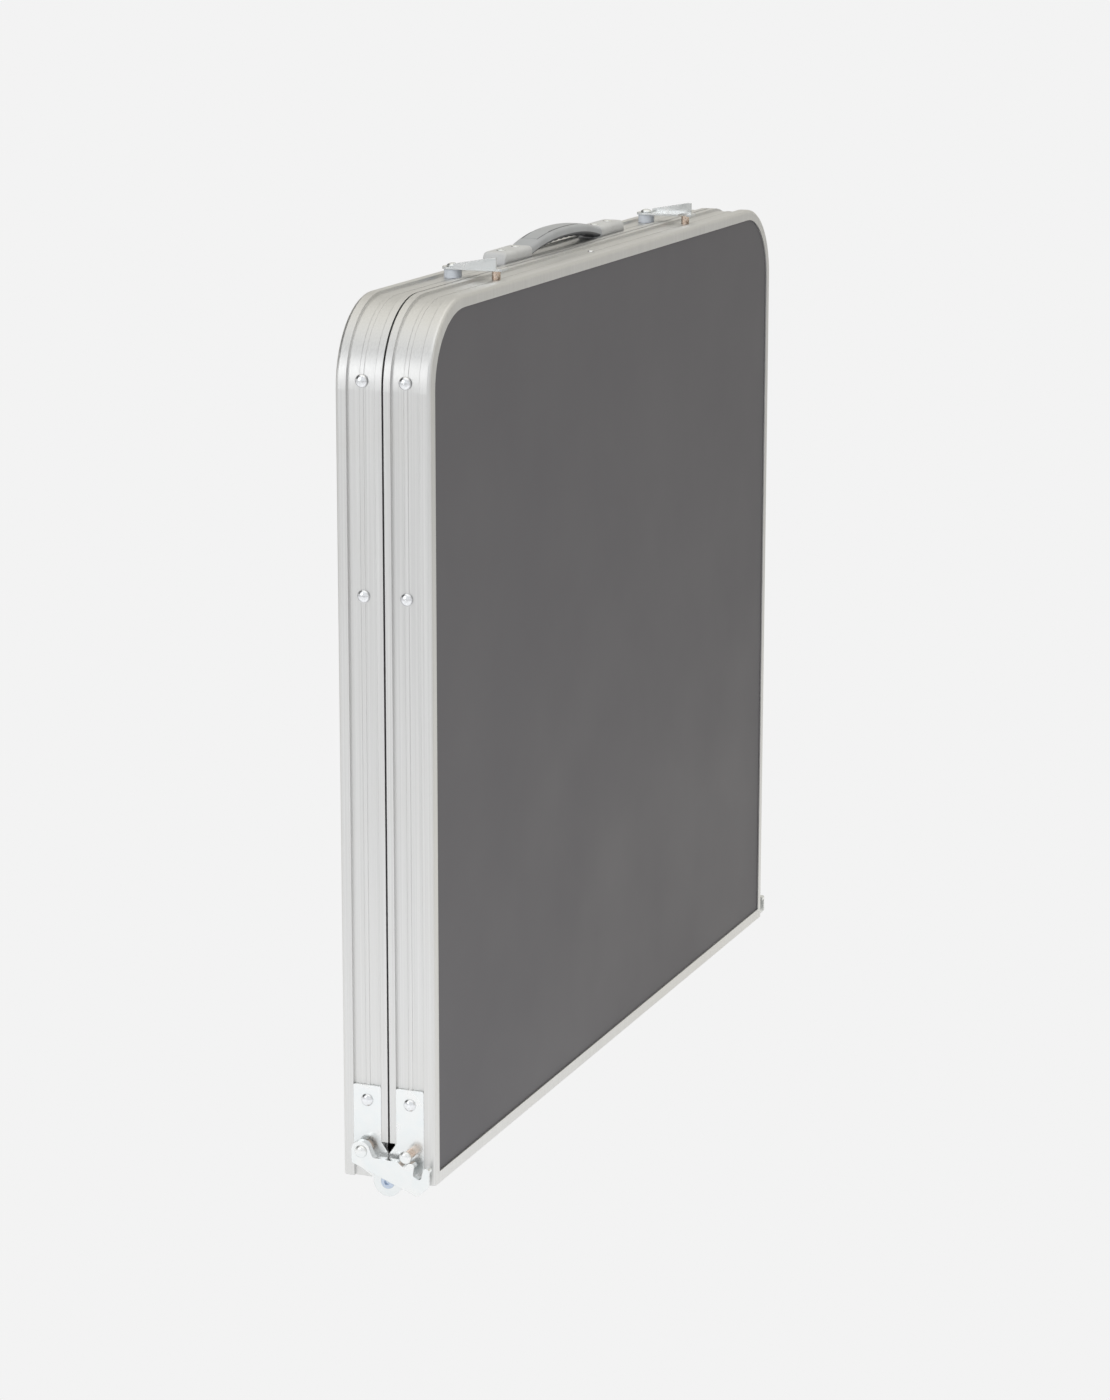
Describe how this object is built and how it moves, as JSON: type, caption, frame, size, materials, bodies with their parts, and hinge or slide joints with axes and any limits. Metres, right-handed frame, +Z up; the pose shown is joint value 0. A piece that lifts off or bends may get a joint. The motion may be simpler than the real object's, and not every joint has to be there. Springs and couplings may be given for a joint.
{
  "type": "folding table",
  "caption": "Aluminium table that folds in half into a flat carrying case, with folding legs, stays, latches and a handle.",
  "frame": {"origin": "centre of the footprint, on the surface that the closed case stands on, under the hinge lobes", "axes": "+Z up the closed case, +X along the fold line, -Y out of the front tray's panel, +Y out of the rear tray's"},
  "size_m": [0.7252, 0.068, 0.6252],
  "materials": {
    "anodised_rail": "satin anodised, drawn lengthways",
    "grey_panel": "fibreboard with a smooth dark grey laminate",
    "zinc_steel": "bright zinc plate",
    "aluminium_rivet": "satin",
    "copper_pin": "copper washed",
    "leg_aluminium": "satin drawn tube",
    "black_plastic": "moulded",
    "black_rubber": "matt",
    "handle_grey": "moulded, slight sheen",
    "spacer_grey": "moulded"
  },
  "bodies": {
    "rear_tray": {"rear_side_rail": "anodised_rail", "rear_fold_rail": "anodised_rail", "rear_panel": "grey_panel", "rear_corner_brackets": "zinc_steel", "rear_hinge_plates": "zinc_steel", "rear_plate_rivets": "aluminium_rivet", "rear_leg_pivot_rivets": "aluminium_rivet", "rear_stay_anchor_rivets": "aluminium_rivet", "rear_leg_clips": "black_plastic", "hinge_rivets": "zinc_steel", "lever_pivot_rivets": "copper_pin", "latch_spacers": "spacer_grey", "latch_pivot_rivets": "zinc_steel", "handle_block_right": "handle_grey", "handle_block_left": "handle_grey", "handle_grip": "handle_grey", "handle_screws": "zinc_steel"},
    "front_tray": {"front_side_rail": "anodised_rail", "front_fold_rail": "anodised_rail", "front_panel": "grey_panel", "front_corner_brackets": "zinc_steel", "front_hinge_plates": "zinc_steel", "front_plate_rivets": "aluminium_rivet", "front_leg_pivot_rivets": "aluminium_rivet", "front_stay_anchor_rivets": "aluminium_rivet", "front_leg_clips": "black_plastic", "lock_pins": "copper_pin", "latch_pins": "copper_pin", "front_centre_rivet": "aluminium_rivet"},
    "lever_right": {"lock_lever_right": "zinc_steel"},
    "lever_left": {"lock_lever_left": "zinc_steel"},
    "latch_right_strip": {"latch_right": "zinc_steel"},
    "latch_left_strip": {"latch_left": "zinc_steel"},
    "rear_legs": {"rear_leg_tubes": "leg_aluminium", "rear_leg_caps": "black_plastic", "rear_leg_ferrules": "black_plastic", "rear_leg_crossbar": "leg_aluminium"},
    "rear_extensions": {"rear_leg_extensions": "leg_aluminium", "rear_leg_feet": "black_rubber"},
    "rear_rail_stays": {"rear_stay_rail_links": "zinc_steel", "rear_stay_elbow_rivets": "aluminium_rivet"},
    "rear_leg_stays": {"rear_stay_leg_links": "zinc_steel"},
    "front_legs": {"front_leg_tubes": "leg_aluminium", "front_leg_caps": "black_plastic", "front_leg_ferrules": "black_plastic", "front_leg_crossbar": "leg_aluminium"},
    "front_extensions": {"front_leg_extensions": "leg_aluminium", "front_leg_feet": "black_rubber"},
    "front_rail_stays": {"front_stay_rail_links": "zinc_steel", "front_stay_elbow_rivets": "aluminium_rivet"},
    "front_leg_stays": {"front_stay_leg_links": "zinc_steel"}
  },
  "joints": [
    {"name": "main_fold", "type": "hinge", "parent": "rear_tray", "child": "front_tray", "pos_m": [0, 0, 0.0105], "axis": [1, 0, 0], "range_deg": [0, 180]},
    {"name": "lever_right_turn", "type": "hinge", "parent": "rear_tray", "child": "lever_right", "pos_m": [0.35, 0.0165, 0.0325], "axis": [1, 0, 0], "range_deg": [0, 90]},
    {"name": "latch_right_turn", "type": "hinge", "parent": "rear_tray", "child": "latch_right_strip", "pos_m": [0.193, 0.016, 0.60875], "axis": [0, 0, 1], "range_deg": [0, 100]},
    {"name": "lever_left_turn", "type": "hinge", "parent": "rear_tray", "child": "lever_left", "pos_m": [-0.35, 0.0165, 0.0325], "axis": [1, 0, 0], "range_deg": [0, 90]},
    {"name": "latch_left_turn", "type": "hinge", "parent": "rear_tray", "child": "latch_left_strip", "pos_m": [-0.193, 0.016, 0.60875], "axis": [0, 0, -1], "range_deg": [0, 100]},
    {"name": "rear_legs_turn", "type": "hinge", "parent": "rear_tray", "child": "rear_legs", "pos_m": [0, 0.0155, 0.5585], "axis": [1, 0, 0], "range_deg": [-90, 0]},
    {"name": "rear_legs_extend", "type": "slide", "parent": "rear_legs", "child": "rear_extensions", "axis": [0, 0, -1], "range_m": [0, 0.3]},
    {"name": "rear_rail_stays_turn", "type": "hinge", "parent": "rear_tray", "child": "rear_rail_stays", "pos_m": [0, 0.0155, 0.4155], "axis": [1, 0, 0], "range_deg": [-135, 0]},
    {"name": "rear_leg_stays_turn", "type": "hinge", "parent": "rear_rail_stays", "child": "rear_leg_stays", "pos_m": [0, 0.0155, 0.31438], "axis": [1, 0, 0], "range_deg": [0, 180]},
    {"name": "front_legs_turn", "type": "hinge", "parent": "front_tray", "child": "front_legs", "pos_m": [0, -0.0155, 0.5585], "axis": [1, 0, 0], "range_deg": [0, 90]},
    {"name": "front_legs_extend", "type": "slide", "parent": "front_legs", "child": "front_extensions", "axis": [0, 0, -1], "range_m": [0, 0.3]},
    {"name": "front_rail_stays_turn", "type": "hinge", "parent": "front_tray", "child": "front_rail_stays", "pos_m": [0, -0.0155, 0.4155], "axis": [1, 0, 0], "range_deg": [0, 135]},
    {"name": "front_leg_stays_turn", "type": "hinge", "parent": "front_rail_stays", "child": "front_leg_stays", "pos_m": [0, -0.0155, 0.31438], "axis": [1, 0, 0], "range_deg": [-180, 0]}
  ],
  "couplings": [
    {"joint": "lever_right_turn", "follows": "main_fold", "ratio": 0.5},
    {"joint": "lever_left_turn", "follows": "main_fold", "ratio": 0.5},
    {"joint": "rear_legs_turn", "follows": "main_fold", "ratio": -0.5},
    {"joint": "rear_legs_extend", "follows": "main_fold", "m_per_rad": 0.095493},
    {"joint": "rear_rail_stays_turn", "follows": "main_fold", "ratio": -0.75},
    {"joint": "rear_leg_stays_turn", "follows": "main_fold", "ratio": 1},
    {"joint": "front_legs_turn", "follows": "main_fold", "ratio": 0.5},
    {"joint": "front_legs_extend", "follows": "main_fold", "m_per_rad": 0.095493},
    {"joint": "front_rail_stays_turn", "follows": "main_fold", "ratio": 0.75},
    {"joint": "front_leg_stays_turn", "follows": "main_fold", "ratio": -1}
  ]
}
